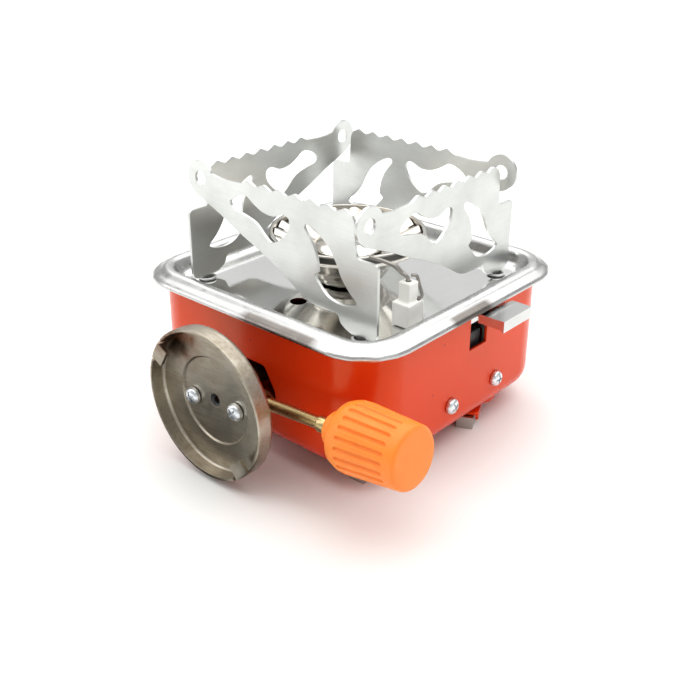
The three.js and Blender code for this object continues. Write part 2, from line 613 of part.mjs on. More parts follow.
// ---- legs: drawn with the rivet at 0 and the strip along +X, then turned to where each one points ----
function buildLegs() {
  const under = SHELL_BOTTOM - 0.5;
  const half = 4;
  const flat = LEG_REACH - 1.6;
  const sheet = 1;
  const outline = [
    ...arc(0, 0, LEG_HEAD, 33, 327, 12),
    [flat - 1, -half], [flat, -half + 1], [flat, half - 1], [flat - 1, half],
  ];
  const strip = join([
    plate(outline, under - sheet, under, [circle(0, 0, 1.8, 12)]),
    box(7, flat - 1, half - 0.9, half, 2.4, under - 0.3),
    box(7, flat - 1, -half, -half + 0.9, 2.4, under - 0.3),
  ]);
  const top = under - sheet - GAP;
  const wall = 0.8;
  const [wide, start, toe] = [2.7, LEG_REACH - 6.1, LEG_REACH - 3];
  const foot = cut(box(start, LEG_REACH, -wide, wide, 0, top), [
    box(start + wall, LEG_REACH - wall, wall - wide, wide - wall, wall, top - wall),
    box(start - 1, toe, wall - wide, wide - wall, -1, top - wall),
  ]);
  const rivet = [
    [0, 3.1], [1.8, 3.2], [2.8, 3.7], [2.8, under - sheet - 0.3], [1.4, under - sheet - 0.3], [1.4, 7.1],
    [2.5, 7.1], [2.3, 7.7], [0, 7.9],
  ];
  for (const [name, x, y] of legPivots()) {
    const group = new THREE.Group();
    group.position.set(x, y, 0);
    group.rotation.z = rad(LEG_ANGLES[name]);
    stove.add(group);
    add(`leg_${name}`, strip.clone(), PAINT(), group);
    add(`leg_foot_${name}`, foot.clone(), GREY_STEEL(), group);
    add(`leg_rivet_${name}`, turned(rivet, 14), ZINC(), group);
  }
}

buildShell();
buildTray();
buildEyelets();
buildSupports();
buildBurner();
buildGasPath();
buildElectrode();
buildIgniter();
buildValve();
buildLegs();

// stand the model on the origin by the bottom centre of its box
stove.updateMatrixWorld(true);
const bounds = new THREE.Box3().setFromObject(stove, true);
const centre = bounds.getCenter(new THREE.Vector3());
const part = new THREE.Group();
stove.position.set(-centre.x, -centre.y, -bounds.min.z);
part.add(stove);

export default part;
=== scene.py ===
import math
from functools import cache

import bmesh
import bpy
from mathutils import Matrix, Vector


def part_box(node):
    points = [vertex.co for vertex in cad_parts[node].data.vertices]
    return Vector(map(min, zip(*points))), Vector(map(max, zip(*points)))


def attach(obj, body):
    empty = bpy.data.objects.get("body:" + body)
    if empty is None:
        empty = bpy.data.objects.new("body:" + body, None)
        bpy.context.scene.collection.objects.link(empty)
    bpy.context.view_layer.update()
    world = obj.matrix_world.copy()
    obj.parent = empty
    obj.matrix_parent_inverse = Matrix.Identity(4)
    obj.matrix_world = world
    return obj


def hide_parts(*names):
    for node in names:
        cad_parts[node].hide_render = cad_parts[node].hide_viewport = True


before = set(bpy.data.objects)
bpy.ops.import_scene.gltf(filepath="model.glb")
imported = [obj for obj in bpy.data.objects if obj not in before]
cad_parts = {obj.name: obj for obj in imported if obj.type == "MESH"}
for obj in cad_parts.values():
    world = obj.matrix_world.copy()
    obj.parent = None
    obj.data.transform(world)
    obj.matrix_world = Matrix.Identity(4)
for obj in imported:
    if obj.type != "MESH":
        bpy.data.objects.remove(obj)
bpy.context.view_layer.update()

bl_info = {
    "name": "Folding Gas Camping Stove",
    "version": (1, 0, 0),
    "blender": (4, 5, 0),
    "location": "3D View > Sidebar > Stove",
    "description": "Builds a small square gas stove on its packed frame, with its finishes and a studio",
    "category": "Object",
}

# All shapes below are drawn in millimetres about the tray's centre, with z = 0 on the ground.
MM = 0.001
TRAY_LOW, TRAY_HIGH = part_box("top_tray")
TRAY_CENTRE = Vector(((TRAY_LOW.x + TRAY_HIGH.x) / 2, (TRAY_LOW.y + TRAY_HIGH.y) / 2, 0))
SIDES = ("front", "right", "back", "left")
SUPPORT_PIVOT = Vector((32.3, -33.5, 45.5))
BURNER_AXIS = Matrix.Translation((0, -2.4, 0))
VALVE_TILT = Matrix.Rotation(math.radians(-4.5), 4, "Y")
VALVE_AXIS = Matrix.Translation((1.7, 0, 25)) @ VALVE_TILT
STEM_Y = -54.4
TO_MINUS_Y = Matrix.Rotation(math.pi / 2, 4, "X")
TO_PLUS_X = Matrix.Rotation(math.pi / 2, 4, "Y")
STEM_START = 38.5
PLATE_FACE = 62.5
PLATE_AXIS = VALVE_AXIS @ TO_MINUS_Y
PLATE_SCREWS_X = (-9.05, 9.05)
PLATE_SCREWS_Z = -0.9
HOLDER_CORNER = Vector((35.3, -16.4, 44.2))
CASE_HALF = 46.2
WALL_SCREWS_Y = (-7.9, 15.8)
WALL_SCREWS_Z = 17.1
LEG_PLACES = (
    ("front_right", 34.5, -22), ("back_right", 34.5, 22),
    ("back_left", -34.5, 22), ("front_left", -34.5, -22),
)
FLUTES = 20
GROOVES = 22
CAMERA_PLACE = Vector((192.995, -223.166, 167.741))
LIGHTS_AIM = Vector((0, 0, 0.03))


# ---- outlines and profiles ----
def arc(cx, cy, radius, start, end, steps):
    """Points along an arc, angles in degrees."""
    turns = [math.radians(start + (end - start) * k / steps) for k in range(steps + 1)]
    return [(cx + radius * math.cos(t), cy + radius * math.sin(t)) for t in turns]


def circle(cx, cy, radius, steps=32):
    return arc(cx, cy, radius, 0, 360, steps)[:-1]


def smooth(points, steps, closed=False):
    """A curve through the points, with `steps` points between each pair."""
    count = len(points)
    result = []
    for i in range(count if closed else count - 1):
        if closed:
            p = [Vector(points[(i + k) % count]) for k in (-1, 0, 1, 2)]
        else:
            p = [Vector(points[min(max(i + k, 0), count - 1)]) for k in (-1, 0, 1, 2)]
        for k in range(steps):
            t = k / steps
            result.append(tuple(0.5 * (
                2 * p[1] + (p[2] - p[0]) * t + (2 * p[0] - 5 * p[1] + 4 * p[2] - p[3]) * t ** 2
                + (3 * p[1] - p[0] - 3 * p[2] + p[3]) * t ** 3
            )))
    if not closed:
        result.append(tuple(points[-1]))
    return result


def eased(points, reach, steps=3, closed=False):
    """The polyline with every corner rounded off, at most `reach` along each of its two sides."""
    result = []
    count = len(points)
    for i, point in enumerate(points):
        if not closed and i in (0, count - 1):
            result.append(tuple(point))
            continue
        here = Vector(point)
        before = Vector(points[i - 1]) - here
        after = Vector(points[(i + 1) % count]) - here
        start = here + before.normalized() * min(reach, before.length * 0.45)
        end = here + after.normalized() * min(reach, after.length * 0.45)
        for k in range(steps + 1):
            t = k / steps
            result.append(tuple(start * (1 - t) ** 2 + here * 2 * t * (1 - t) + end * t * t))
    return result


def rounded_square(half, corner, steps=16):
    centre = half - corner
    loop = []
    for sx, sy, start in ((1, 1, 0), (-1, 1, 90), (-1, -1, 180), (1, -1, 270)):
        loop += arc(sx * centre, sy * centre, corner, start, start + 90, steps)
    return loop


# ---- meshes ----
def linked(name, data):
    """A new object in the scene."""
    made = bpy.data.objects.new(name, data)
    bpy.context.scene.collection.objects.link(made)
    return made


def cleaned(mesh, doubles, slivers=0.0, outward=False):
    """Merges doubled points and, where asked, drops slivers and turns the normals outward."""
    work = bmesh.new()
    work.from_mesh(mesh)
    bmesh.ops.remove_doubles(work, verts=work.verts, dist=doubles)
    if slivers:
        bmesh.ops.dissolve_degenerate(work, edges=work.edges, dist=slivers)
    if outward:
        bmesh.ops.recalc_face_normals(work, faces=work.faces)
    work.to_mesh(mesh)
    work.free()
    return mesh


def full_turn(count):
    return [2 * math.pi * k / count for k in range(count)]


def ring(turns, radius, z):
    return [(radius * math.cos(t), radius * math.sin(t), z) for t in turns]


def solid(points, faces):
    """A closed mesh from points and faces."""
    mesh = bpy.data.meshes.new("solid")
    mesh.from_pydata([tuple(p) for p in points], [], faces)
    return cleaned(mesh, 1e-4, 1e-5, outward=True)


def loft(rings, closed=False, caps=True):
    """Rings of equal length skinned together; closed joins the last ring back to the first."""
    count = len(rings[0])
    faces = []
    for k in range(len(rings) if closed else len(rings) - 1):
        low, high = k * count, (k + 1) % len(rings) * count
        for i in range(count):
            j = (i + 1) % count
            faces.append((low + i, low + j, high + j, high + i))
    if caps and not closed:
        last = (len(rings) - 1) * count
        faces.append(tuple(reversed(range(count))))
        faces.append(tuple(range(last, last + count)))
    return solid([p for row in rings for p in row], faces)


def turned(profile, segments=64, closed=False):
    """A solid of revolution about Z from (radius, z) points."""
    turns = full_turn(segments)
    return loft([ring(turns, r, z) for r, z in profile], closed=closed, caps=False)


def block(x0, x1, y0, y1, z0, z1):
    return loft([[(x0, y0, z), (x1, y0, z), (x1, y1, z), (x0, y1, z)] for z in (z0, z1)])


def prism(outline, z0, z1):
    return loft([[(x, y, z) for x, y in outline] for z in (z0, z1)])


def moved(mesh, matrix):
    mesh.transform(matrix)
    return mesh


def pressed_square(profile, half, corner, dent=None):
    """A pressed sheet whose level sections are rounded squares; dent(x, y, z) pulls points inward."""
    rings = []
    for width, z in profile:
        level = []
        for x, y in rounded_square(width, corner - (half - width)):
            pull = 1 - dent(x, y, z) / width if dent else 1
            level.append((x * pull, y * pull, z))
        rings.append(level)
    return loft(rings)


def tube(points, radius, sides=14, steps=8):
    """A round wire along a curve through the points, with slightly rounded ends."""
    path = [Vector(p) for p in smooth(points, steps)]
    rings = []
    side = Vector((0, 0, 1))
    for i, point in enumerate(path):
        along = (path[min(i + 1, len(path) - 1)] - path[max(i - 1, 0)]).normalized()
        if abs(along.dot(side)) > 0.98:
            side = Vector((1, 0, 0))
        side = (side - along * along.dot(side)).normalized()
        other = along.cross(side)
        around = [(side * math.cos(t) + other * math.sin(t)) * radius for t in full_turn(sides)]
        if i == 0:
            rings.append([point - along * radius * 0.3 + spoke * 0.6 for spoke in around])
        rings.append([point + spoke for spoke in around])
        if i == len(path) - 1:
            rings.append([point + along * radius * 0.3 + spoke * 0.6 for spoke in around])
    return loft(rings)


def shown_mesh(holder):
    """The mesh that an object shows; the object itself is removed."""
    ready = holder.evaluated_get(bpy.context.evaluated_depsgraph_get())
    mesh = bpy.data.meshes.new_from_object(ready)
    bpy.data.objects.remove(holder)
    return mesh


def with_modifier(mesh, kind, **settings):
    """The mesh after one modifier."""
    holder = linked("holder", mesh)
    modifier = holder.modifiers.new("step", kind)
    for key, value in settings.items():
        setattr(modifier, key, value)
    return shown_mesh(holder)


def combined(mesh, tools, operation="DIFFERENCE"):
    """The mesh joined with or cut by the tools, one after another."""
    for tool in tools:
        cutter = linked("cutter", tool)
        mesh = with_modifier(mesh, "BOOLEAN", operation=operation, solver="EXACT", object=cutter)
        bpy.data.objects.remove(cutter)
    return cleaned(mesh, 2e-3, 2e-3)


def sheet_with_holes(outline, holes, thickness, bevel):
    """A flat sheet in X-Z, centred on y = 0, with its holes and finely rounded edges."""
    curve = bpy.data.curves.new("sheet", "CURVE")
    curve.dimensions = "2D"
    curve.fill_mode = "BOTH"
    for loop in (outline, *holes):
        spline = curve.splines.new("POLY")
        spline.points.add(len(loop) - 1)
        for point, (x, y) in zip(spline.points, loop):
            point.co = (x, y, 0, 1)
        spline.use_cyclic_u = True
    curve.extrude = thickness / 2 - bevel
    curve.bevel_depth = bevel
    curve.bevel_resolution = 1
    curve.offset = -bevel
    return moved(cleaned(shown_mesh(linked("sheet", curve)), 1e-3), TO_MINUS_Y)


def piece(name, mesh, look, body, place=None, nodes=(), sharp=32, weighted=False):
    """Places a mesh drawn in millimetres, gives it its finish and lets it ride on a body."""
    mesh.materials.clear()
    mesh.materials.append(look)
    mesh.transform(Matrix.Scale(MM, 4))
    mesh.shade_smooth()
    mesh.set_sharp_from_angle(angle=math.radians(sharp))
    made = linked(name, mesh)
    where = (place or Matrix.Identity(4)).copy()
    where.translation = where.translation * MM + TRAY_CENTRE
    made.matrix_world = where
    if weighted:
        steady = made.modifiers.new("Even flat faces", "WEIGHTED_NORMAL")
        steady.keep_sharp = True
    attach(made, body)
    if nodes:
        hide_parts(*nodes)
    return made


def finish_node(node, look, bevel=0.12):
    """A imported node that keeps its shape, with softened edges and its finish."""
    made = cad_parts[node]
    made.data.materials.clear()
    made.data.materials.append(look)
    weld = made.modifiers.new("Join faces", "WELD")
    weld.merge_threshold = 1e-6
    if bevel:
        edge = made.modifiers.new("Soft edges", "BEVEL")
        edge.width = bevel * MM
        edge.segments = 2
        edge.limit_method = "ANGLE"
        edge.angle_limit = math.radians(40)
        edge.harden_normals = False
    return made


# ---- finishes ----
def put(tree, kind, inputs=None, **settings):
    """Adds a node; an input's value may be a plain value or another node's socket."""
    made = tree.nodes.new(kind)
    for key, value in settings.items():
        setattr(made, key, value)
    for key, value in (inputs or {}).items():
        if isinstance(value, bpy.types.NodeSocket):
            tree.links.new(value, made.inputs[key])
        else:
            made.inputs[key].default_value = value
    return made


def new_group(name, inputs, outputs):
    """An empty shader group with (kind, name, default) inputs and (kind, name) outputs."""
    tree = bpy.data.node_groups.new(name, "ShaderNodeTree")
    for kind, label, value in inputs:
        socket = tree.interface.new_socket(label, in_out="INPUT", socket_type="NodeSocket" + kind)
        if value is not None:
            socket.default_value = value
    for kind, label in outputs:
        tree.interface.new_socket(label, in_out="OUTPUT", socket_type="NodeSocket" + kind)
    return tree, tree.nodes.new("NodeGroupInput").outputs, tree.nodes.new("NodeGroupOutput").inputs


def calculate(tree, operation, first, second=0.0, clamp=False):
    made = put(tree, "ShaderNodeMath", {0: first, 1: second}, operation=operation, use_clamp=clamp)
    return made.outputs[0]


@cache
def fine_scratches():
    """Thin drawn-out marks along one direction of the surface."""
    tree, given, out = new_group(
        "Fine Scratches",
        [("Vector", "Vector", None), ("Vector", "Stretch", (1, 1, 1)), ("Float", "Scale", 800)],
        [("Float", "Mask")],
    )
    drawn = put(tree, "ShaderNodeVectorMath", {0: given["Vector"], 1: given["Stretch"]}, operation="MULTIPLY")
    noise = put(tree, "ShaderNodeTexNoise", {
        "Vector": drawn.outputs[0], "Scale": given["Scale"], "Detail": 4, "Roughness": 0.65,
    })
    level = put(tree, "ShaderNodeMapRange", {
        "Value": noise.outputs["Fac"], "From Min": 0.3, "From Max": 0.7, "To Min": 0, "To Max": 1,
    })
    tree.links.new(level.outputs[0], out["Mask"])
    return tree


@cache
def surface_mottle():
    """Soft patches that shift the colour and the gloss a little."""
    tree, given, out = new_group(
        "Surface Mottle",
        [("Vector", "Vector", None), ("Float", "Scale", 60), ("Color", "First Color", (1, 1, 1, 1)),
         ("Color", "Second Color", (0.8, 0.8, 0.8, 1)), ("Float", "Low Roughness", 0.2),
         ("Float", "High Roughness", 0.3)],
        [("Color", "Color"), ("Float", "Roughness"), ("Float", "Mask")],
    )
    noise = put(tree, "ShaderNodeTexNoise", {
        "Vector": given["Vector"], "Scale": given["Scale"], "Detail": 5, "Roughness": 0.6,
    })
    level = put(tree, "ShaderNodeMapRange", {
        "Value": noise.outputs["Fac"], "From Min": 0.35, "From Max": 0.68, "To Min": 0, "To Max": 1,
    })
    shade = put(tree, "ShaderNodeMix", {
        "Factor": level.outputs[0], 6: given["First Color"], 7: given["Second Color"],
    }, data_type="RGBA")
    gloss = put(tree, "ShaderNodeMapRange", {
        "Value": level.outputs[0], "To Min": given["Low Roughness"], "To Max": given["High Roughness"],
    })
    tree.links.new(shade.outputs[2], out["Color"])
    tree.links.new(gloss.outputs[0], out["Roughness"])
    tree.links.new(level.outputs[0], out["Mask"])
    return tree


@cache
def band_mask():
    """One inside a range of a coordinate, fading out over a width at both ends."""
    tree, given, out = new_group(
        "Band Mask",
        [("Float", "Value", 0), ("Float", "Low", 0), ("Float", "High", 1), ("Float", "Fade", 0.001)],
        [("Float", "Mask")],
    )
    ends = []
    for label, sign in (("Low", 1), ("High", -1)):
        ahead = calculate(tree, "SUBTRACT", given["Value"], given[label])
        share = calculate(tree, "DIVIDE", ahead, given["Fade"])
        inward = calculate(tree, "MULTIPLY", share, sign)
        ends.append(calculate(tree, "ADD", inward, 0.5, clamp=True))
    tree.links.new(calculate(tree, "MULTIPLY", *ends), out["Mask"])
    return tree


@cache
def moulded_grain():
    """The fine unevenness of a moulded or fired surface."""
    labels = ("Vector", "Scale", "Detail")
    tree, given, out = new_group(
        "Moulded Grain",
        [("Vector", "Vector", None), ("Float", "Scale", 1500), ("Float", "Detail", 2)],
        [("Float", "Height")],
    )
    noise = put(tree, "ShaderNodeTexNoise", {label: given[label] for label in labels})
    tree.links.new(noise.outputs["Fac"], out["Height"])
    return tree


class Finish:
    """A material being made: its tree, its shader and the piece's own coordinates in metres."""

    def __init__(self, name, metallic=0.0, specular=0.5, coat=0.0, coat_roughness=0.03):
        self.made = bpy.data.materials.new(name)
        self.made.use_nodes = True
        self.tree = self.made.node_tree
        self.shader = self.tree.nodes["Principled BSDF"]
        self.shader.inputs["Metallic"].default_value = metallic
        self.shader.inputs["Specular IOR Level"].default_value = specular
        self.shader.inputs["Coat Weight"].default_value = coat
        self.shader.inputs["Coat Roughness"].default_value = coat_roughness
        self.place = self.tree.nodes.new("ShaderNodeTexCoord").outputs["Object"]

    def put(self, kind, inputs=None, **settings):
        return put(self.tree, kind, inputs, **settings)

    def group(self, tree, **inputs):
        """A shared effect's outputs on this piece; its other inputs by name, with _ for a space."""
        values = {label.replace("_", " "): value for label, value in inputs.items()}
        return self.put("ShaderNodeGroup", values, node_tree=tree).outputs

    def math(self, operation, first, second=0.0, clamp=False):
        return calculate(self.tree, operation, first, second, clamp)

    def times(self, first, second):
        return self.math("MULTIPLY", first, second)

    def plus(self, first, second):
        return self.math("ADD", first, second)

    def mix(self, share, first, second):
        made = self.put("ShaderNodeMix", {"Factor": share, 6: first, 7: second}, data_type="RGBA")
        return made.outputs[2]

    def axes(self):
        return self.put("ShaderNodeSeparateXYZ", {0: self.place}).outputs

    def from_axis(self, x, y):
        """Distance from the piece's own Z axis."""
        flat = self.put("ShaderNodeCombineXYZ", {0: x, 1: y, 2: 0.0})
        return self.put("ShaderNodeVectorMath", {0: flat.outputs[0]}, operation="LENGTH").outputs["Value"]

    def noise(self, scale, detail):
        settings = {"Vector": self.place, "Scale": scale, "Detail": detail}
        return self.put("ShaderNodeTexNoise", settings).outputs["Fac"]

    def ramp(self, value, start, end, low, high):
        """The value spread from start and end to low and high, and held beyond them."""
        settings = {"Value": value, "From Min": start, "From Max": end, "To Min": low, "To Max": high}
        return self.put("ShaderNodeMapRange", settings).outputs[0]

    def mottle(self, scale, first, second, low, high):
        return self.group(
            surface_mottle(), Vector=self.place, Scale=scale, First_Color=first, Second_Color=second,
            Low_Roughness=low, High_Roughness=high)

    def scratches(self, scale, stretch):
        return self.group(fine_scratches(), Vector=self.place, Scale=scale, Stretch=stretch)["Mask"]

    def band(self, value, low, high, fade):
        return self.group(band_mask(), Value=value, Low=low, High=high, Fade=fade)["Mask"]

    def feed(self, socket, value):
        self.tree.links.new(value, self.shader.inputs[socket])

    def bump(self, height, strength, distance):
        made = self.put("ShaderNodeBump", {"Height": height, "Strength": strength, "Distance": distance})
        self.feed("Normal", made.outputs["Normal"])


def shade(colour, factor):
    return (colour[0] * factor, colour[1] * factor, colour[2] * factor, 1)


def rgba(colour):
    return (*colour, 1)


def metal(name, colour, low, high, stretch=(1, 1, 1), grain=2500, depth=0.08, second=0.86, patch=45):
    """Bare metal: patches in tone and gloss, with a fine grain drawn along one direction."""
    finish = Finish(name, metallic=1.0)
    mottle = finish.mottle(patch, rgba(colour), shade(colour, second), low, high)
    marks = finish.scratches(grain, stretch)
    finish.feed("Base Color", finish.mix(finish.times(marks, 0.22), mottle["Color"], shade(colour, 0.7)))
    finish.feed("Roughness", finish.plus(mottle["Roughness"], finish.times(marks, 0.07)))
    finish.bump(marks, depth, 0.00005)
    return finish.made


def moulded(name, colours, gloss, patch, grain, strength, specular=0.5, glow=None):
    """A moulded or fired material: patches, a fine grain and, with glow, light let in under its skin."""
    finish = Finish(name, specular=specular)
    mottle = finish.mottle(patch, *colours, *gloss)
    finish.feed("Base Color", mottle["Color"])
    finish.feed("Roughness", mottle["Roughness"])
    if glow:
        finish.shader.inputs["Subsurface Weight"].default_value = glow[0]
        finish.shader.inputs["Subsurface Radius"].default_value = glow[1]
    height = finish.group(moulded_grain(), Vector=finish.place, Scale=grain[0], Detail=grain[1])["Height"]
    finish.bump(height, strength, 0.0001)
    return finish.made


# Each finish below is made once and shared by its pieces.
@cache
def body_enamel():
    """Glossy baked enamel: faint orange peel, small dust nibs and gloss that varies over the sheet."""
    colour = tuple(bpy.context.scene.stove_colours.enamel)
    finish = Finish("Body enamel", specular=0.4)
    finish.shader.inputs["Specular Tint"].default_value = (1.0, 0.86, 0.40, 1)
    mottle = finish.mottle(22, rgba(colour), shade(colour, 0.93), 0.16, 0.25)
    nibs = finish.put("ShaderNodeTexVoronoi", {"Vector": finish.place, "Scale": 130})
    spot = finish.ramp(nibs.outputs["Distance"], 0.035, 0.06, 0.75, 0)
    finish.feed("Base Color", finish.mix(spot, mottle["Color"], shade(colour, 0.35)))
    finish.feed("Roughness", mottle["Roughness"])
    finish.bump(finish.noise(420, 1), 0.06, 0.0003)
    return finish.made


@cache
def tray_steel():
    """Bright pressed steel: mirror-like floor, duller rolled rim, and painted dark reflections in two
    stretches low on the rim.
    """
    finish = Finish("Tray steel", metallic=1.0)
    colour = (0.84, 0.84, 0.83)
    x, y, z = finish.axes()
    mottle = finish.mottle(30, rgba(colour), shade(colour, 0.92), 0.07, 0.11)
    marks = finish.scratches(1500, (1, 0.03, 1))
    rim = finish.band(z, 0.0446, 0.0520, 0.0008)
    # Painted reflection: two stretches of the rim's lower band, at the front and on the right, are painted
    # near black as dark reflections.
    front_edge = finish.band(y, -0.0540, -0.0472, 0.0005)
    right_edge = finish.band(x, 0.0472, 0.0540, 0.0005)
    front = finish.times(front_edge, finish.band(x, 0.0005, 0.0290, 0.004))
    right = finish.times(right_edge, finish.band(y, -0.0130, 0.0057, 0.003))
    low = finish.band(z, 0.0450, 0.0482, 0.0005)
    dark_reflection = finish.times(finish.math("MAXIMUM", front, right), low)
    tone = finish.mix(finish.times(marks, 0.15), mottle["Color"], shade(colour, 0.75))
    duller = finish.mix(finish.times(rim, 0.8), tone, shade(colour, 0.60))
    finish.feed("Base Color", finish.mix(finish.times(dark_reflection, 0.85), duller, (0.12, 0.10, 0.085, 1)))
    wear = finish.times(rim, finish.times(finish.noise(260, 3), 0.42))
    finish.feed("Roughness", finish.plus(mottle["Roughness"], wear))
    wave = finish.times(finish.noise(55, 1), rim)
    finish.bump(finish.plus(wave, finish.times(marks, 0.004)), 0.3, 0.0007)
    return finish.made


@cache
def burner_steel():
    """Polished stainless with a faint straw tint, and painted shade: a dark band round the ring's recessed
    wall.
    """
    finish = Finish("Burner steel", metallic=1.0)
    colour = (0.68, 0.67, 0.64)
    x, y, z = finish.axes()
    mottle = finish.mottle(60, rgba(colour), (0.62, 0.57, 0.49, 1), 0.10, 0.20)
    marks = finish.scratches(2200, (0.05, 0.05, 1))
    rim = finish.band(finish.from_axis(x, y), 0.0238, 0.0260, 0.0003)
    # Painted shade: the ring's recessed wall between its two lips is painted near black.
    wall = finish.times(rim, finish.band(z, 0.0583, 0.0601, 0.0004))
    tone = finish.mix(finish.times(marks, 0.2), mottle["Color"], shade(colour, 0.7))
    finish.feed("Base Color", finish.mix(finish.times(wall, 0.88), tone, (0.03, 0.028, 0.025, 1)))
    finish.feed("Roughness", finish.plus(mottle["Roughness"], finish.times(wall, 0.3)))
    finish.bump(marks, 0.05, 0.00005)
    return finish.made


@cache
def fluted_steel():
    """The fluted plate: bright ribs, with painted shade making the gas ports dark between them at the outer
    edge, and a brown ring round the cap's edge.
    """
    finish = Finish("Fluted steel", metallic=1.0)
    colour = (0.68, 0.67, 0.64)
    x, y, _ = finish.axes()
    mottle = finish.mottle(80, rgba(colour), (0.56, 0.50, 0.42, 1), 0.14, 0.26)
    wave = finish.math("COSINE", finish.times(finish.math("ARCTAN2", y, x), FLUTES))
    gap = finish.math("SUBTRACT", finish.times(wave, -4.0), 2.9, clamp=True)
    radius = finish.from_axis(x, y)
    # Painted shade: the troughs between the ribs at the outer edge are painted near black, standing for the
    # dark inside the gas ports.
    port_shade = finish.times(gap, finish.band(radius, 0.0210, 0.0260, 0.0010))
    # A brown darkening in a ring round the cap's edge, reaching under it.
    cap_edge_ring = finish.band(radius, 0.0090, 0.0125, 0.0025)
    tone = finish.mix(finish.times(cap_edge_ring, 0.45), mottle["Color"], (0.25, 0.2, 0.16, 1))
    finish.feed("Base Color", finish.mix(port_shade, tone, (0.012, 0.011, 0.010, 1)))
    finish.feed("Roughness", finish.plus(mottle["Roughness"], finish.times(port_shade, 0.4)))
    finish.bump(finish.scratches(2500, (1, 1, 1)), 0.05, 0.00005)
    return finish.made


@cache
def support_steel():
    """Cut steel sheet with a fine drawn grain."""
    return metal("Support steel", (0.72, 0.73, 0.71), 0.27, 0.40, (0.06, 1, 1), grain=1600, depth=0.12)


@cache
def plain_steel():
    return metal("Plain steel", (0.66, 0.66, 0.65), 0.25, 0.4, grain=2000)


@cache
def lever_steel():
    return metal("Lever steel", (0.72, 0.72, 0.71), 0.12, 0.18, stretch=(1, 0.06, 1), grain=1500, depth=0.03)


@cache
def connector_steel():
    """Rolled plate: diagonal grain, brown heat tint by the upper claw."""
    finish = Finish("Connector steel", metallic=1.0)
    colour = (0.44, 0.40, 0.33)
    mottle = finish.mottle(150, rgba(colour), (0.27, 0.22, 0.16, 1), 0.30, 0.46)
    turned_by = finish.put("ShaderNodeMapping", {
        "Vector": finish.place, "Rotation": (0, 0, math.radians(40)), "Scale": (0.07, 1, 1),
    })
    grain = finish.put("ShaderNodeTexNoise", {
        "Vector": turned_by.outputs[0], "Scale": 1400, "Detail": 4, "Roughness": 0.7,
    })
    lines = finish.ramp(grain.outputs["Fac"], 0.35, 0.7, 0, 1)
    tone = finish.mix(finish.times(lines, 0.45), mottle["Color"], (0.60, 0.56, 0.48, 1))
    upper_claw = (-0.0120, 0.0175, 0.0630)
    away = finish.put("ShaderNodeVectorMath", {0: finish.place, 1: upper_claw}, operation="DISTANCE")
    heat = finish.ramp(away.outputs["Value"], 0.001, 0.012, 2.2, 0)
    patchy = finish.times(heat, finish.noise(240, 4))
    finish.feed("Base Color", finish.mix(patchy, tone, (0.16, 0.07, 0.035, 1)))
    finish.feed("Roughness", mottle["Roughness"])
    finish.bump(lines, 0.12, 0.00008)
    return finish.made


@cache
def brass():
    return metal("Brass", (0.64, 0.48, 0.23), 0.2, 0.34, stretch=(1, 1, 0.06), grain=1600, second=0.7)


# Brass darkened with painted shade, for the valve's body and nut, the jet and the gas tube, which sit in the
# case's shade.
@cache
def shaded_brass():
    return metal("Brass in painted shade", (0.20, 0.11, 0.05), 0.3, 0.5, grain=900, second=0.5)


@cache
def zinc():
    return metal("Zinc", (0.86, 0.89, 0.92), 0.22, 0.34, grain=1800, patch=160)


@cache
def foot_steel():
    return metal("Foot steel", (0.50, 0.49, 0.46), 0.3, 0.45, grain=1200)


@cache
def wire_steel():
    return metal("Wire steel", (0.34, 0.32, 0.29), 0.25, 0.42, grain=1500, patch=200)


@cache
def ceramic():
    """Unglazed white porcelain with a little grime."""
    colour = tuple(bpy.context.scene.stove_colours.ceramic)
    return moulded("Igniter ceramic", (rgba(colour), shade(colour, 0.9)), (0.32, 0.48), 140, (1500, 2), 0.1,
                   specular=0.45, glow=(0.12, (0.001, 0.001, 0.0008)))


@cache
def black_plastic():
    colours = (0.012, 0.013, 0.014, 1), (0.022, 0.022, 0.024, 1)
    return moulded("Black plastic", colours, (0.35, 0.5), 90, (2500, 2), 0.15)


@cache
def knob_plastic():
    """Moulded orange plastic: soft sheen and faint flow marks."""
    colour = tuple(bpy.context.scene.stove_colours.knob)
    return moulded("Knob plastic", (rgba(colour), shade(colour, 0.92)), (0.36, 0.5), 120, (1800, 3), 0.12,
                   specular=0.4, glow=(0.25, (0.002, 0.0008, 0.0003)))


# ---- settings ----
class StoveColours(bpy.types.PropertyGroup):
    """Colours of the painted and moulded pieces."""

    enamel: bpy.props.FloatVectorProperty(
        name="Enamel", description="Colour of the case and its legs", subtype="COLOR",
        default=(0.78, 0.040, 0.005), min=0, max=1)
    knob: bpy.props.FloatVectorProperty(
        name="Knob", description="Colour of the moulded knob", subtype="COLOR",
        default=(1.0, 0.26, 0.025), min=0, max=1)
    ceramic: bpy.props.FloatVectorProperty(
        name="Ceramic", description="Colour of the electrode's holder", subtype="COLOR",
        default=(0.93, 0.92, 0.87), min=0, max=1)
    floor: bpy.props.FloatVectorProperty(
        name="Floor", description="Colour of the studio floor", subtype="COLOR",
        default=(0.895, 0.905, 0.885), min=0, max=1)


class StoveSizes(bpy.types.PropertyGroup):
    """Sizes of the finer shapes, and of the studio."""

    sheet_bevel: bpy.props.FloatProperty(
        name="Sheet Edge", description="Rounding of the supports' cut edges", subtype="DISTANCE",
        unit="LENGTH", default=0.0001, min=0.00002, max=0.0004)
    groove_depth: bpy.props.FloatProperty(
        name="Groove Depth", description="Depth of the knob's grooves", subtype="DISTANCE",
        unit="LENGTH", default=0.0007, min=0, max=0.0015)
    floor_width: bpy.props.FloatProperty(
        name="Floor Width", description="Width of the studio floor", subtype="DISTANCE",
        unit="LENGTH", default=8.0, min=1, max=30)
    lens: bpy.props.FloatProperty(
        name="Lens", description="Focal length of the camera in millimetres", default=52.349, min=20, max=200)
    light: bpy.props.FloatProperty(
        name="Light", description="Strength of all the studio's lights", default=1.0, min=0, max=10)


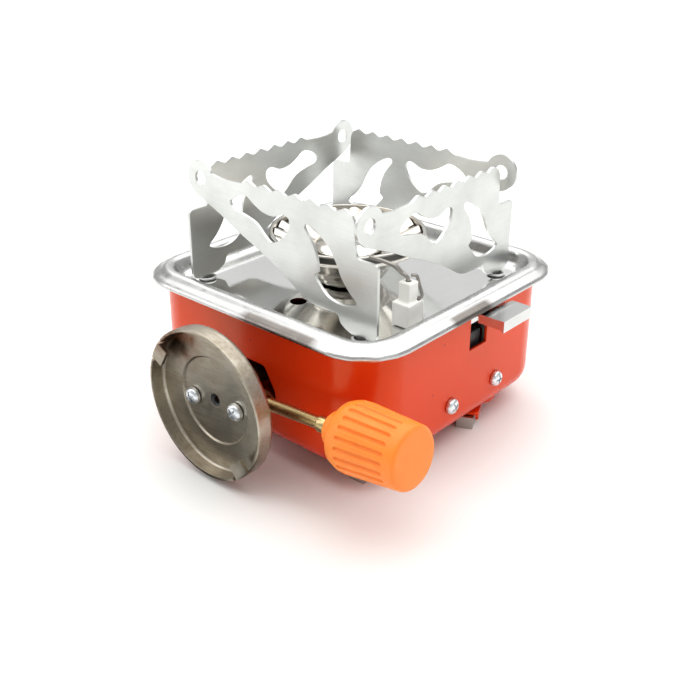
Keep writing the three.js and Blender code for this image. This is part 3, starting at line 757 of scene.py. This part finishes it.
# ---- stage ----
def view_matrix(azimuth, elevation, roll, place):
    """A camera's matrix from its compass direction, its height angle and its roll, in degrees."""
    az, el, turn = (math.radians(v) for v in (azimuth, elevation, roll))
    ahead = Vector((-math.sin(az) * math.cos(el), math.cos(az) * math.cos(el), -math.sin(el)))
    side = ahead.cross(Vector((0, 0, 1))).normalized()
    up = side.cross(ahead)
    right = side * math.cos(turn) + up * math.sin(turn)
    above = up * math.cos(turn) - side * math.sin(turn)
    matrix = Matrix((right, above, -ahead)).transposed().to_4x4()
    matrix.translation = place
    return matrix


def add_light(name, place, shape, power):
    lamp = bpy.data.lights.new(name, "AREA")
    lamp.shape = "RECTANGLE"
    lamp.size, lamp.size_y = shape
    lamp.energy = power * bpy.context.scene.stove_sizes.light
    made = linked(name, lamp)
    made.location = place
    made.rotation_euler = (LIGHTS_AIM - Vector(place)).to_track_quat("-Z", "Y").to_euler()


def add_flag(name, left, right, low, high):
    """A black card flat on the floor, seen only in reflections. It darkens what the case's front wall
    mirrors towards the camera between left and right, and between the heights low and high."""
    above_floor = 0.0004
    corners = []
    for x, z in ((left, low), (right, low), (right, high), (left, high)):
        share = z / (CAMERA_PLACE.z - z)
        reach_x = (x - CAMERA_PLACE.x) * share
        reach_y = (CASE_HALF + CAMERA_PLACE.y) * share
        corners.append(((x + reach_x) * MM, (reach_y - CASE_HALF) * MM, above_floor))
    mesh = bpy.data.meshes.new(name)
    mesh.from_pydata(corners, [], [(0, 3, 2, 1)])
    card = linked(name, mesh)
    card.location = TRAY_CENTRE
    card.visible_camera = card.visible_diffuse = card.visible_shadow = card.visible_transmission = False
    finish = Finish("Black felt", specular=0.0)
    felt = finish.mottle(300, (0.004, 0.004, 0.004, 1), (0.01, 0.01, 0.01, 1), 0.9, 1)
    finish.feed("Base Color", felt["Color"])
    mesh.materials.append(finish.made)


class STOVE_OT_stage(bpy.types.Operator):
    """Add the floor, the soft lights and the camera"""

    bl_idname = "stove.stage"
    bl_label = "Stage"

    def execute(self, context):
        scene = context.scene
        half = scene.stove_sizes.floor_width / 2
        mesh = bpy.data.meshes.new("studio_floor")
        corners = [(-half, -half, 0), (half, -half, 0), (half, half, 0), (-half, half, 0)]
        mesh.from_pydata(corners, [], [(0, 1, 2, 3)])
        floor = linked("studio_floor", mesh)
        finish = Finish("Studio paper", specular=0.1)
        colour = tuple(scene.stove_colours.floor)
        mottle = finish.mottle(6, rgba(colour), shade(colour, 0.99), 0.75, 0.85)
        finish.feed("Base Color", mottle["Color"])
        finish.feed("Roughness", mottle["Roughness"])
        spread = finish.put("ShaderNodeVectorMath", {0: finish.place}, operation="LENGTH").outputs["Value"]
        glow = finish.ramp(spread, 0.3, 0.9, 0, 0.6)
        finish.feed("Emission Color", finish.mix(glow, (0, 0, 0, 1), (1, 1, 1, 1)))
        finish.shader.inputs["Emission Strength"].default_value = 1.0
        mesh.materials.append(finish.made)

        world = bpy.data.worlds.new("Studio")
        world.use_nodes = True
        sky = world.node_tree.nodes["Background"]
        sky.inputs["Color"].default_value = (1, 1, 1, 1)
        seen = put(world.node_tree, "ShaderNodeLightPath").outputs["Is Camera Ray"]
        lighting, backdrop = 0.52, 1.1
        strength = put(world.node_tree, "ShaderNodeMapRange", {
            "Value": seen, "To Min": lighting, "To Max": backdrop,
        })
        world.node_tree.links.new(strength.outputs[0], sky.inputs["Strength"])
        scene.world = world
        scene.view_settings.view_transform = "Standard"
        add_light("overhead_softbox", (-0.08, 0.16, 0.95), (1.7, 1.7), 18)
        add_light("right_softbox", (0.75, 0.0, 0.4), (0.5, 0.6), 0.3)
        add_light("left_softbox", (-0.6, -0.5, 0.45), (0.25, 0.6), 1.2)
        add_light("back_softbox", (-0.8, 0.95, 0.62), (1.2, 1.2), 1.2)
        add_flag("front_flag", -1, 29, 17, 48)
        add_flag("corner_flag", 34, 48, 8, 48)

        lens = bpy.data.cameras.new("Camera")
        lens.lens = scene.stove_sizes.lens
        lens.sensor_width = 36
        lens.shift_x, lens.shift_y = -0.013263, -0.012733
        lens.clip_start = 0.01
        camera = linked("Camera", lens)
        azimuth, elevation, roll = 41.0498, 25.965, 0.4043
        camera.matrix_world = view_matrix(azimuth, elevation, roll, TRAY_CENTRE + CAMERA_PLACE * MM)
        scene.camera = camera
        return {"FINISHED"}


# ---- case ----
class STOVE_OT_case(bpy.types.Operator):
    """Add the drawn case with its valve opening, lever slot and screw holes"""

    bl_idname = "stove.case"
    bl_label = "Case"

    def execute(self, context):
        half, sheet, bend = CASE_HALF, 0.8, 7.0
        centre, level = half - bend, 5.9 + bend
        outside = arc(centre, level, bend, -90, 0, 12)
        inside = arc(centre, level, bend - sheet, 0, -90, 12)
        lip = [
            (half, 47.1), (half - 0.12, 47.4), (half - 0.4, 47.5), (half - 0.68, 47.4), (half - sheet, 47.1),
        ]
        mesh = pressed_square([*outside, *lip, *inside], half, 15.5)
        wide, flat, high, low, middle = 10.4, 6, 9.3, 1.6, 22.3
        opening = eased([
            (-flat, middle - high), (flat, middle - high), (wide, middle - low), (wide, middle + low),
            (flat, middle + high), (-flat, middle + high), (-wide, middle + low), (-wide, middle - low),
        ], 1.2, closed=True)
        tools = [moved(prism(opening, 42, 50), TO_MINUS_Y), block(43, 48, 0.6, 9.6, 32.2, 45.4)]
        for y in WALL_SCREWS_Y:
            hole = prism(circle(0, 0, 1.6, 24), 42, 50)
            tools.append(moved(hole, Matrix.Translation((0, y, WALL_SCREWS_Z)) @ TO_PLUS_X))
        for _, x, y in LEG_PLACES:
            tools.append(moved(prism(circle(0, 0, 1.8, 24), 4, 9), Matrix.Translation((x, y, 0))))
        mesh = combined(mesh, tools)
        piece("drawn_body", mesh, body_enamel(), "stove", nodes=["case_shell"], weighted=True)
        return {"FINISHED"}


# ---- tray ----
class STOVE_OT_tray(bpy.types.Operator):
    """Add the polished tray with its rolled rim, and the four eyelets that the supports turn in"""

    bl_idname = "stove.tray"
    bl_label = "Tray and Eyelets"

    def execute(self, context):
        half, corner = 50, 16.6
        straight = half - corner
        under = [
            (40.4, 43.1), (42.3, 43.7), (43.3, 47.5), (44.9, 48.7), (46.6, 47.8), (49, 46.9), (49.2, 46.2),
            (46.9, 46.2),
        ]
        over = [
            (46.9, 45.5), (49.4, 45.5), (50, 46), (49.9, 46.8), (49, 47.6), (47.3, 48.2), (46.3, 49.1),
            (45, 49.5), (43.4, 49.2), (42.6, 48), (42, 45.2), (40.4, 43.9),
        ]
        profile = eased([*under, *over], 0.8)

        def dent(x, y, z):
            """Uneven crimps round the rolled edge's corners, fading out below its crest."""
            depth, crest, inner = 0.28, 48, 44
            if z > crest or max(abs(x), abs(y)) < inner or min(abs(x), abs(y)) < straight:
                return 0
            turn = math.atan2(abs(y) - straight, abs(x) - straight)
            wave = 0.5 - 0.5 * math.cos(turn * 18 + 1.3 * math.sin(turn * 7 + x))
            return depth * wave * min(1, (crest - z) / 1.5) * math.sin(2 * turn)

        mesh = pressed_square(profile, half, corner, dent)
        holes = [(8.4, 0, -2.4), (2, HOLDER_CORNER.x, HOLDER_CORNER.y), (2.6, 0.7, -26)]
        turns = [Matrix.Rotation(i * math.pi / 2, 4, "Z") for i in range(4)]
        for turn in turns:
            spot = turn @ Vector((SUPPORT_PIVOT.x, SUPPORT_PIVOT.y, 0))
            holes.append((2.6, spot.x, spot.y))
        tools = [prism(circle(x, y, radius, 40), 41, 46) for radius, x, y in holes]
        mesh = combined(mesh, tools)
        piece("polished_tray", mesh, tray_steel(), "stove", nodes=["top_tray"], weighted=True)

        eyelet = eased([
            (1.95, 42.1), (2.9, 42.1), (2.9, 42.8), (2.25, 42.8), (2.25, 44.2), (2.9, 44.2), (2.75, 44.8),
            (1.95, 44.8),
        ], 0.22, closed=True)
        for side, turn in zip(SIDES, turns):
            place = turn @ Matrix.Translation((SUPPORT_PIVOT.x, SUPPORT_PIVOT.y, 0))
            piece("eyelet_" + side + "_ring", turned(eyelet, 40, closed=True), plain_steel(), "stove",
                  place, nodes=["eyelet_" + side])
        return {"FINISHED"}


# ---- pot supports: drawn with the pivot at 0 and heights above the rim's lower edge ----
def support_outline():
    tail = eased([(3.6, -0.45), (5.6, 0.2), (6.1, 1.2), (6.1, 21.6), (5.2, 22.6), (3.5, 22.6)], 0.8)
    riser = eased([(0.5, 22.6), (-0.9, 22.6), (-1.9, 23.8), (-2.4, 32.8), (-3.4, 34.4)], 1.2)
    ridge = []
    for i in range(7):
        peak = -6 - 6.2 * i
        ridge += [(peak + 1.3, 35.1), (peak, 35.9), (peak - 1.2, 35.5), (peak - 3.1, 34.3)]
    top = eased([*ridge, (-48.3, 34.2), (-52.4, 33.9), (-56, 34.1)], 1.2)
    eye = arc(-64.5, 32.2, 5.6, 25, 222, 32)
    belly = smooth([
        (-66.4, 26.7), (-61.7, 24.8), (-56, 22.5), (-47.8, 18.6), (-39.9, 15.3), (-32.8, 11.9), (-27, 8.6),
        (-22.5, 5.9), (-19, 4.6), (-15, 4.3), (-9, 4.3),
    ], 5)
    neck = eased([(-8.1, 3.6), (-7.4, 1.6), (-5.2, 0.2), (-3.6, -0.45), (-1.5, -0.45)], 0.7)
    tongue = [(-1.5, -4.7), (-2.5, -4.7), (-2.5, -5.8), (2.5, -5.8), (2.5, -4.7), (1.5, -4.7)]
    return [(1.5, -0.45), *tail, *riser, *top, *eye, *belly, *neck, *tongue]


def support_holes():
    bone = smooth([
        (-51.4, 27.9), (-48.6, 30), (-44.6, 31), (-41.3, 29.1), (-37.6, 27.5), (-33.3, 27.2), (-29.4, 28.7),
        (-27, 27.6), (-27.6, 24.2), (-31, 20.6), (-34.6, 18.9), (-37.4, 20.6), (-40.9, 23.5), (-46, 25),
        (-50.2, 25.8),
    ], 4, closed=True)
    leaf = [*smooth([
        (-15.8, 14.8), (-16.3, 18.8), (-18, 22.8), (-21, 26.8), (-19.6, 28), (-15.5, 26.2), (-11.4, 22.9),
        (-8.8, 19), (-7, 15.4), (-4, 11.8), (-1.3, 9.4), (-3.6, 7.9), (-8.2, 7.4), (-12.8, 8.7),
        (-16.6, 12.4),
    ], 5), (-17.4, 13.6)]
    return [circle(-64.5, 32.2, 2.3, 36), bone, leaf]


class STOVE_OT_supports(bpy.types.Operator):
    """Add the four cut sheet supports and finish their washers"""

    bl_idname = "stove.supports"
    bl_label = "Pot Supports"

    def execute(self, context):
        bevel = context.scene.stove_sizes.sheet_bevel / MM
        sheet = sheet_with_holes(support_outline(), support_holes(), 1.0, bevel)
        for i, side in enumerate(SIDES):
            place = Matrix.Rotation(i * math.pi / 2, 4, "Z") @ Matrix.Translation(SUPPORT_PIVOT)
            piece("support_sheet_" + side, sheet.copy(), support_steel(), "support_" + side,
                  place, nodes=["pot_support_" + side], sharp=25, weighted=True)
            finish_node("support_washer_" + side, plain_steel())
        return {"FINISHED"}


# ---- burner ----
class STOVE_OT_burner(bpy.types.Operator):
    """Add the burner's bowl, fluted plate, cap and screw"""

    bl_idname = "stove.burner"
    bl_label = "Burner"

    def execute(self, context):
        bowl = eased([
            (6.8, 41), (7.7, 41), (7.7, 44.3), (9.7, 44.3), (11.7, 46), (13.1, 48), (13.8, 50), (24.2, 57.2),
            (25.2, 57.5), (25.2, 57.9), (24.6, 58.1), (24.3, 60.2), (24.7, 60.4), (24.7, 60.8), (23.5, 60.8),
            (23.5, 58.1), (13.3, 51), (12.2, 48.6), (10.9, 46.8), (9.2, 45.3), (6.8, 45.3),
        ], 0.35, closed=True)
        piece("burner_dish", turned(bowl, 128, closed=True), burner_steel(), "stove",
              BURNER_AXIS, nodes=["burner_bowl"])

        def flute(share):
            """A wavy ring; the share runs from 0 at the plate's inner edge to 1 at its outer edge."""
            level = ring(full_turn(FLUTES * 16), 9.5 + 13.6 * share, 53.9 + 5.7 * share)
            depth = 0.2 + 0.4 * share
            return [(x, y, z + depth * math.cos(FLUTES * math.atan2(y, x))) for x, y, z in level]

        steps = 12
        top = [flute(k / steps) for k in range(steps + 1)]
        low = [[(x, y, z - 0.7) for x, y, z in level] for level in reversed(top)]
        piece("fluted_plate", loft([*top, *low], closed=True), fluted_steel(), "stove",
              BURNER_AXIS, nodes=["burner_fluted_plate"])
        cap = eased([
            (1.9, 55.1), (11, 55.1), (11.2, 55.6), (9.6, 56.6), (6, 57.3), (1.9, 57.5),
        ], 0.6, closed=True)
        piece("burner_crown", turned(cap, 96, closed=True), burner_steel(), "stove",
              BURNER_AXIS, nodes=["burner_cap"])
        bolt = turned(eased([
            (0, 49), (1.5, 49), (1.5, 57.8), (3.4, 57.8), (3.4, 58.6), (2.4, 59.5), (0, 59.8),
        ], 0.35), 48)
        bolt = combined(bolt, [block(-0.4, 0.4, -4, 4, 58.9, 61)])
        piece("burner_bolt", bolt, zinc(), "stove", BURNER_AXIS, nodes=["burner_screw"])
        return {"FINISHED"}


class STOVE_OT_gas_path(bpy.types.Operator):
    """Finish the mixing tube, the jet and the tube between jet and valve"""

    bl_idname = "stove.gas_path"
    bl_label = "Gas Path"

    def execute(self, context):
        finish_node("mixing_tube", plain_steel(), bevel=0)
        # The jet and the gas tube take the brass darkened with painted shade.
        finish_node("gas_jet", shaded_brass(), bevel=0)
        finish_node("gas_tube", shaded_brass(), bevel=0)
        return {"FINISHED"}


# ---- spark electrode ----
class STOVE_OT_electrode(bpy.types.Operator):
    """Add the white holder, the bent electrode and its clip"""

    bl_idname = "stove.electrode"
    bl_label = "Electrode"

    def execute(self, context):
        base = block(-3.1, 3.1, -3.6, 3.6, 0, 7.3)
        neck = block(-2.1, 2.1, -2.1, 2.1, 6.8, 13.3)
        mesh = combined(base, [neck], "UNION")
        mesh = with_modifier(mesh, "BEVEL", width=0.45, segments=3, limit_method="ANGLE", angle_limit=0.6)
        side_hole = moved(prism(circle(0, 0, 0.95, 20), 5.3, 9), Matrix.Translation((1.7, 2.2, 0)))
        mesh = combined(mesh, [prism(circle(0, 0, 0.95, 24), -2, 16), side_hole])
        piece("ceramic_holder", mesh, ceramic(), "stove", Matrix.Translation(HOLDER_CORNER),
              nodes=["electrode_holder"], weighted=True)
        x, y, floor = HOLDER_CORNER
        top = floor + 13.3
        rod = tube([
            (x, y, floor + 1), (x, y, top - 0.4), (x - 1.9, y - 1, top + 2.3), (x - 3.9, y - 2, top + 4.2),
            (x - 7, y - 2.2, top + 4.6), (22.8, -18.7, top + 4.6),
        ], 0.6)
        piece("spark_electrode", rod, wire_steel(), "stove", nodes=["electrode_wire"])
        shoulder = floor + 7.3
        clip = tube([
            (x + 1.7, y + 2.2, shoulder - 1.4), (x + 1.9, y + 2.6, shoulder + 0.3),
            (x + 2.5, y + 3.3, shoulder + 1.2), (x + 1.4, y + 3.4, shoulder + 4),
            (x + 0.5, y + 3.2, top + 0.6), (x - 0.4, y + 2, top + 1),
        ], 0.5)
        piece("electrode_spring", clip, wire_steel(), "stove", nodes=["electrode_clip"])
        return {"FINISHED"}


# ---- screws ----
def pan_head(head, shank, length):
    """A pan-head screw with its head standing above z = 0 and a crossed recess."""
    crown = eased([(head, 0), (head, 0.9), (head * 0.78, 1.6), (head * 0.4, 1.9), (0, 2)], 0.5)
    mesh = turned([(0, -length), (shank, -length), (shank, 0), *crown], 40)
    reach = head * 0.62
    cross = combined(block(-reach, reach, -0.3, 0.3, 1, 3), [block(-0.3, 0.3, -reach, reach, 1, 3)], "UNION")
    return combined(mesh, [cross])


class STOVE_OT_igniter(bpy.types.Operator):
    """Finish the piezo igniter and its lever, and add the two wall screws"""

    bl_idname = "stove.igniter"
    bl_label = "Igniter"

    def execute(self, context):
        finish_node("igniter_bracket", plain_steel())
        finish_node("piezo_housing", black_plastic(), bevel=0.3)
        finish_node("piezo_plunger", black_plastic(), bevel=0)
        finish_node("igniter_lever", lever_steel(), bevel=0.3)
        finish_node("lever_pin", plain_steel(), bevel=0)
        for i, y in enumerate(WALL_SCREWS_Y):
            turn = Matrix.Rotation(0.5 + i, 4, "X")
            place = Matrix.Translation((CASE_HALF + 0.3, y, WALL_SCREWS_Z)) @ turn @ TO_PLUS_X
            piece(f"wall_screw_head_{i + 1}", pan_head(2.5, 1.25, 5.5), zinc(), "stove", place,
                  nodes=[f"wall_screw_{i + 1}"])
        return {"FINISHED"}


# ---- connector, valve and knob ----
class STOVE_OT_connector(bpy.types.Operator):
    """Add the cartridge connector's cup with its claws, screws and seal"""

    bl_idname = "stove.connector"
    bl_label = "Connector"

    def execute(self, context):
        face, front, rim = PLATE_FACE, 67.0, 23.3
        cup = turned(eased([
            (2, face - 0.65), (3, face - 0.69), (3, face - 1.8), (14.2, face - 1.8), (14.4, face - 1.2),
            (22, face - 1.2), (rim - 0.3, face - 0.9), (rim, face), (rim, front - 0.3), (rim - 0.3, front),
            (rim - 1, front),
            (rim - 1.1, face + 0.6), (21.6, face), (13.7, face), (13.4, face - 0.6), (2, face - 0.6),
        ], 0.25, 2, closed=True), 144, closed=True)
        claws, tools = [], []
        for angle in (145, -52):
            turn = Matrix.Rotation(math.radians(angle), 4, "Z")
            flap = eased([(18.6, -3), (rim - 0.5, -3), (rim - 0.5, 3), (18.6, 3)], 0.5, closed=True)
            claws.append(moved(prism(flap, front - 1.1, front - 0.02), turn))
            for side in (-3.9, 3.9):
                notch = block(rim - 2, rim + 1, side - 0.6, side + 0.6, front - 2.4, front + 1)
                tools.append(moved(notch, turn))
        for x in PLATE_SCREWS_X:
            hole = prism(circle(0, 0, 1.5, 32), face - 4, face + 3)
            tools.append(moved(hole, Matrix.Translation((x, PLATE_SCREWS_Z, 0))))
        mesh = combined(combined(cup, claws, "UNION"), tools)
        piece("connector_cup", mesh, connector_steel(), "stove", PLATE_AXIS,
              nodes=["connector_plate"], weighted=True)
        for i, x in enumerate(PLATE_SCREWS_X):
            spin = Matrix.Rotation(0.35 + 0.5 * i, 4, "Z")
            place = VALVE_AXIS @ Matrix.Translation((x, 0.3 - face, PLATE_SCREWS_Z)) @ TO_MINUS_Y @ spin
            piece(f"connector_screw_head_{i + 1}", pan_head(2.7, 1.15, 4), zinc(), "stove", place,
                  nodes=[f"connector_screw_{i + 1}"])
        seal = eased([
            (1.2, face - 2), (2.7, face - 2), (2.7, face - 1), (2.1, face - 0.7), (1.2, face - 1),
        ], 0.3, closed=True)
        piece("seal_ring", turned(seal, 40, closed=True), black_plastic(), "stove",
              PLATE_AXIS, nodes=["connector_seal"])
        return {"FINISHED"}


class STOVE_OT_valve(bpy.types.Operator):
    """Finish the valve's body and nut, and add its turned stem"""

    bl_idname = "stove.valve"
    bl_label = "Valve"

    def execute(self, context):
        # The valve's body and nut take the brass darkened with painted shade.
        finish_node("valve_body", shaded_brass())
        finish_node("gland_nut", shaded_brass())
        start = STEM_START
        rod = eased([
            (0, 5), (1.2, 6.5), (1.85, 8), (1.85, start - 4.4), (2.4, start - 4.1), (2.4, start - 0.9),
            (1.85, start - 0.9), (1.85, start + 12), (0, start + 12),
        ], 0.2)
        place = VALVE_AXIS @ Matrix.Translation((0, STEM_Y, 0)) @ TO_PLUS_X
        piece("brass_stem", turned(rod, 48), brass(), "knob", place, nodes=["valve_stem"])
        return {"FINISHED"}


def knob_radius(z):
    """The knob's radius at a height above the foot of its neck."""
    profile = (
        (0.3, 4.4), (1, 5), (3.8, 5), (4.2, 6.8), (5.5, 9), (7.8, 9.9), (10, 10.1), (26.8, 9), (27.8, 8.7),
    )
    for (z0, r0), (z1, r1) in zip(profile, profile[1:]):
        if z <= z1:
            return r0 + (r1 - r0) * (z - z0) / (z1 - z0)
    return profile[-1][1]


def groove_at(turn, z, start=9.4, end=24.6, half_width=0.62, radius=9.6):
    """Zero on a rib, up to one at the bottom of a round-ended groove."""
    pitch = 2 * math.pi / GROOVES
    across = (turn + pitch / 2) % pitch - pitch / 2
    sideways = across * radius / half_width
    beyond = max(start + half_width - z, z - end + half_width, 0) / half_width
    reach = math.hypot(sideways, beyond)
    return math.sqrt(max(0, 1 - reach * reach))


class STOVE_OT_knob(bpy.types.Operator):
    """Add the moulded knob with its grooves"""

    bl_idname = "stove.knob"
    bl_label = "Knob"

    def execute(self, context):
        depth = context.scene.stove_sizes.groove_depth / MM
        turns = full_turn(GROOVES * 18)
        bore, top = 2.2, 12.9
        heights = [0.3, 0.5, 1, 2.2, 3.5, 3.8, 4.0, 4.25, 4.6, 5, 5.6, 6.4, 7.2, 8, 8.8]
        heights += [9.2 + 0.15 * k for k in range(12)] + [11.2 + 0.9 * k for k in range(13)]
        heights += [22.9 + 0.15 * k for k in range(13)] + [25.2, 26, 26.5]
        rings = [[(0, 0, top)] * len(turns), ring(turns, bore, top), ring(turns, bore, heights[0])]
        for z in heights:
            radii = [knob_radius(z) - depth * groove_at(t, z) for t in turns]
            rings.append([(r * math.cos(t), r * math.sin(t), z) for r, t in zip(radii, turns)])
        edge = (
            (8.98, 26.8), (8.95, 27.2), (8.8, 27.6), (8.5, 27.95), (8.1, 28.15), (7.5, 28.2), (4, 28.18),
            (0, 28.18),
        )
        rings += [ring(turns, r, z) for r, z in edge]
        mesh = loft(rings, caps=False)
        place = VALVE_AXIS @ Matrix.Translation((STEM_START, STEM_Y, 0)) @ TO_PLUS_X
        piece("grooved_knob", mesh, knob_plastic(), "knob", place, nodes=["knob"], sharp=50)
        return {"FINISHED"}


# ---- legs ----
class STOVE_OT_legs(bpy.types.Operator):
    """Finish the swing legs and their feet, and add their rivets"""

    bl_idname = "stove.legs"
    bl_label = "Legs"

    def execute(self, context):
        rivet = eased([
            (0, 3.1), (1.8, 3.2), (2.8, 3.7), (2.8, 4.1), (1.4, 4.1), (1.4, 7.1), (2.5, 7.1), (2.3, 7.7),
            (0, 7.9),
        ], 0.3)
        for name, x, y in LEG_PLACES:
            finish_node("leg_" + name, body_enamel())
            finish_node("leg_foot_" + name, foot_steel())
            piece("rivet_" + name, turned(rivet, 40), zinc(), "stove", Matrix.Translation((x, y, 0)),
                  nodes=["leg_rivet_" + name])
        return {"FINISHED"}


class STOVE_PT_build(bpy.types.Panel):
    """Buttons that build the stove piece by piece, with its sizes and colours"""

    bl_label = "Camping Stove"
    bl_idname = "STOVE_PT_build"
    bl_space_type = "VIEW_3D"
    bl_region_type = "UI"
    bl_category = "Stove"

    def draw(self, context):
        for settings in (context.scene.stove_sizes, context.scene.stove_colours):
            for name in settings.__annotations__:
                self.layout.prop(settings, name)
        for operator in OPERATORS:
            self.layout.operator(operator.bl_idname)


OPERATORS = (
    STOVE_OT_stage, STOVE_OT_case, STOVE_OT_tray, STOVE_OT_supports, STOVE_OT_burner, STOVE_OT_gas_path,
    STOVE_OT_electrode, STOVE_OT_igniter, STOVE_OT_connector, STOVE_OT_valve, STOVE_OT_knob, STOVE_OT_legs,
)
CLASSES = (StoveColours, StoveSizes, *OPERATORS, STOVE_PT_build)


def register():
    for cls in CLASSES:
        bpy.utils.register_class(cls)
    bpy.types.Scene.stove_colours = bpy.props.PointerProperty(type=StoveColours)
    bpy.types.Scene.stove_sizes = bpy.props.PointerProperty(type=StoveSizes)


def unregister():
    del bpy.types.Scene.stove_sizes
    del bpy.types.Scene.stove_colours
    for cls in reversed(CLASSES):
        bpy.utils.unregister_class(cls)


def main():
    register()
    bpy.ops.stove.stage()
    bpy.ops.stove.case()
    bpy.ops.stove.tray()
    bpy.ops.stove.supports()
    bpy.ops.stove.burner()
    bpy.ops.stove.gas_path()
    bpy.ops.stove.electrode()
    bpy.ops.stove.igniter()
    bpy.ops.stove.connector()
    bpy.ops.stove.valve()
    bpy.ops.stove.knob()
    bpy.ops.stove.legs()


if __name__ == "__main__":
    main()
